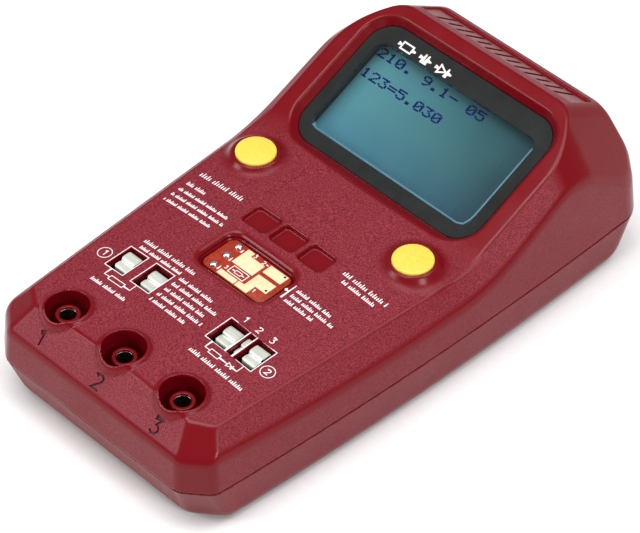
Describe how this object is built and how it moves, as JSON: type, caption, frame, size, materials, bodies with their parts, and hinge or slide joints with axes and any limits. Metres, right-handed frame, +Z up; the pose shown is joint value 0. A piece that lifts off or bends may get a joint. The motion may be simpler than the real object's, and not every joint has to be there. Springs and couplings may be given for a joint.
{
  "type": "component tester",
  "caption": "Hand-held component tester with a sloping display head, push buttons, 4 mm sockets, spring-clip ports and a sliding battery door.",
  "frame": {"origin": "middle of the footprint on the underside", "axes": "+Y to the display end, +X to the right of someone reading the display, +Z up"},
  "size_m": [0.0828, 0.1454, 0.0451],
  "materials": {
    "shell": "moulded ABS, fine spark grain, dark red",
    "cap": "smooth satin yellow",
    "window": "clear acrylic with a printed black border",
    "lcd": "liquid crystal cell, teal",
    "diffuser": "milky light guide",
    "bezel_steel": "black stamped sheet steel",
    "board": "glass-fibre circuit board, green mask",
    "smd_red": "glass-fibre circuit board, orange-red mask",
    "chip": "black epoxy",
    "tin": "tinned",
    "clip": "nickel-plated spring steel",
    "contact": "nickel-plated brass",
    "screw": "zinc-plated steel",
    "sleeve_blue": "shrink sleeve",
    "resistor": "blue-grey lacquer",
    "black_plastic": "black nylon",
    "white_plastic": "white nylon",
    "film": "flat flexible cable",
    "battery_can": "printed sleeve over a can",
    "wire_red": "soft insulation",
    "wire_black": "soft insulation",
    "ink": "white pad-printed ink",
    "lcd_ink": "dark blue liquid crystal cells",
    "pad": "cream lacquered copper"
  },
  "bodies": {
    "case": {"top_cover": "shell", "bottom_cover": "shell", "display_window": "window", "lcd_glass": "lcd", "lcd_backlight": "diffuser", "lcd_bezel": "bezel_steel", "lcd_board": "board", "lcd_ribbon": "film", "main_board": "board", "microcontroller": "chip", "crystal": "tin", "capacitor": "sleeve_blue", "regulator": "chip", "ribbon_socket": "white_plastic", "switch_left": "black_plastic", "switch_right": "black_plastic", "jack_tube_1": "shell", "jack_tube_2": "shell", "jack_tube_3": "shell", "jack_contact_1": "contact", "jack_contact_2": "contact", "jack_contact_3": "contact", "port1_holder": "black_plastic", "port1_clip_1": "clip", "port1_clip_2": "clip", "port2_holder": "black_plastic", "port2_clip_1": "clip", "port2_clip_2": "clip", "port2_clip_3": "clip", "smd_board": "smd_red", "smd_pins": "tin", "discharge_resistor": "resistor", "battery": "battery_can", "battery_snap": "black_plastic", "lead_red": "wire_red", "lead_black": "wire_black", "battery_header": "white_plastic", "case_screws": "screw", "board_screws": "screw", "lcd_screws": "screw"},
    "left_button": {"button_left": "cap", "plunger_left": "black_plastic"},
    "right_button": {"button_right": "cap", "plunger_right": "black_plastic"},
    "door": {"battery_door": "shell"}
  },
  "joints": [
    {"name": "left_press", "type": "slide", "parent": "case", "child": "left_button", "axis": [0, 0, -1], "range_m": [0, 0.0005], "stiffness_N_per_m": 2400},
    {"name": "right_press", "type": "slide", "parent": "case", "child": "right_button", "axis": [0, 0, -1], "range_m": [0, 0.0005], "stiffness_N_per_m": 2400},
    {"name": "door_slide", "type": "slide", "parent": "case", "child": "door", "axis": [0, 1, 0], "range_m": [0, 0.036]}
  ]
}
